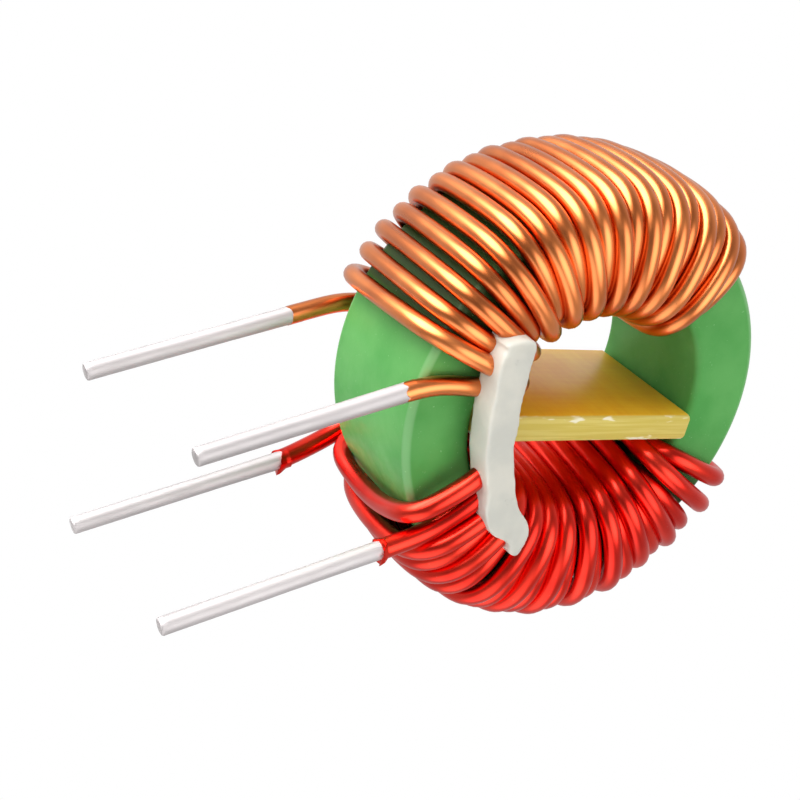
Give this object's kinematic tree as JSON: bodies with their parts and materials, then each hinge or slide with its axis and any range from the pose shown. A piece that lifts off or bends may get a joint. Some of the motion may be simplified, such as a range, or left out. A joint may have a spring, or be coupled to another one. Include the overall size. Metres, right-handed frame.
{
  "type": "toroidal inductor",
  "caption": "Ring-shaped common mode choke: two enamelled wire windings on a green coated ferrite ring, parted by a divider plate, with tinned leads for a circuit board.",
  "frame": {"origin": "middle of the four leads' rectangle, at the circuit board's top face", "axes": "-Z along the leads, +Y along the ring's axis to the back, +X towards the red winding"},
  "size_m": [0.0251, 0.0134, 0.037],
  "materials": {
    "green_coat": "satin epoxy coat",
    "copper_enamel": "clear enamel",
    "red_enamel": "gloss enamel",
    "glass_fibre": "laminate",
    "white_glue": "set glue",
    "tin": "tinned"
  },
  "bodies": {
    "root": {"toroid_core": "green_coat", "copper_winding": "copper_enamel", "red_winding": "red_enamel", "divider_plate": "glass_fibre", "glue_strip": "white_glue", "copper_lead_front": "tin", "copper_lead_back": "tin", "red_lead_front": "tin", "red_lead_back": "tin"}
  },
  "joints": []
}
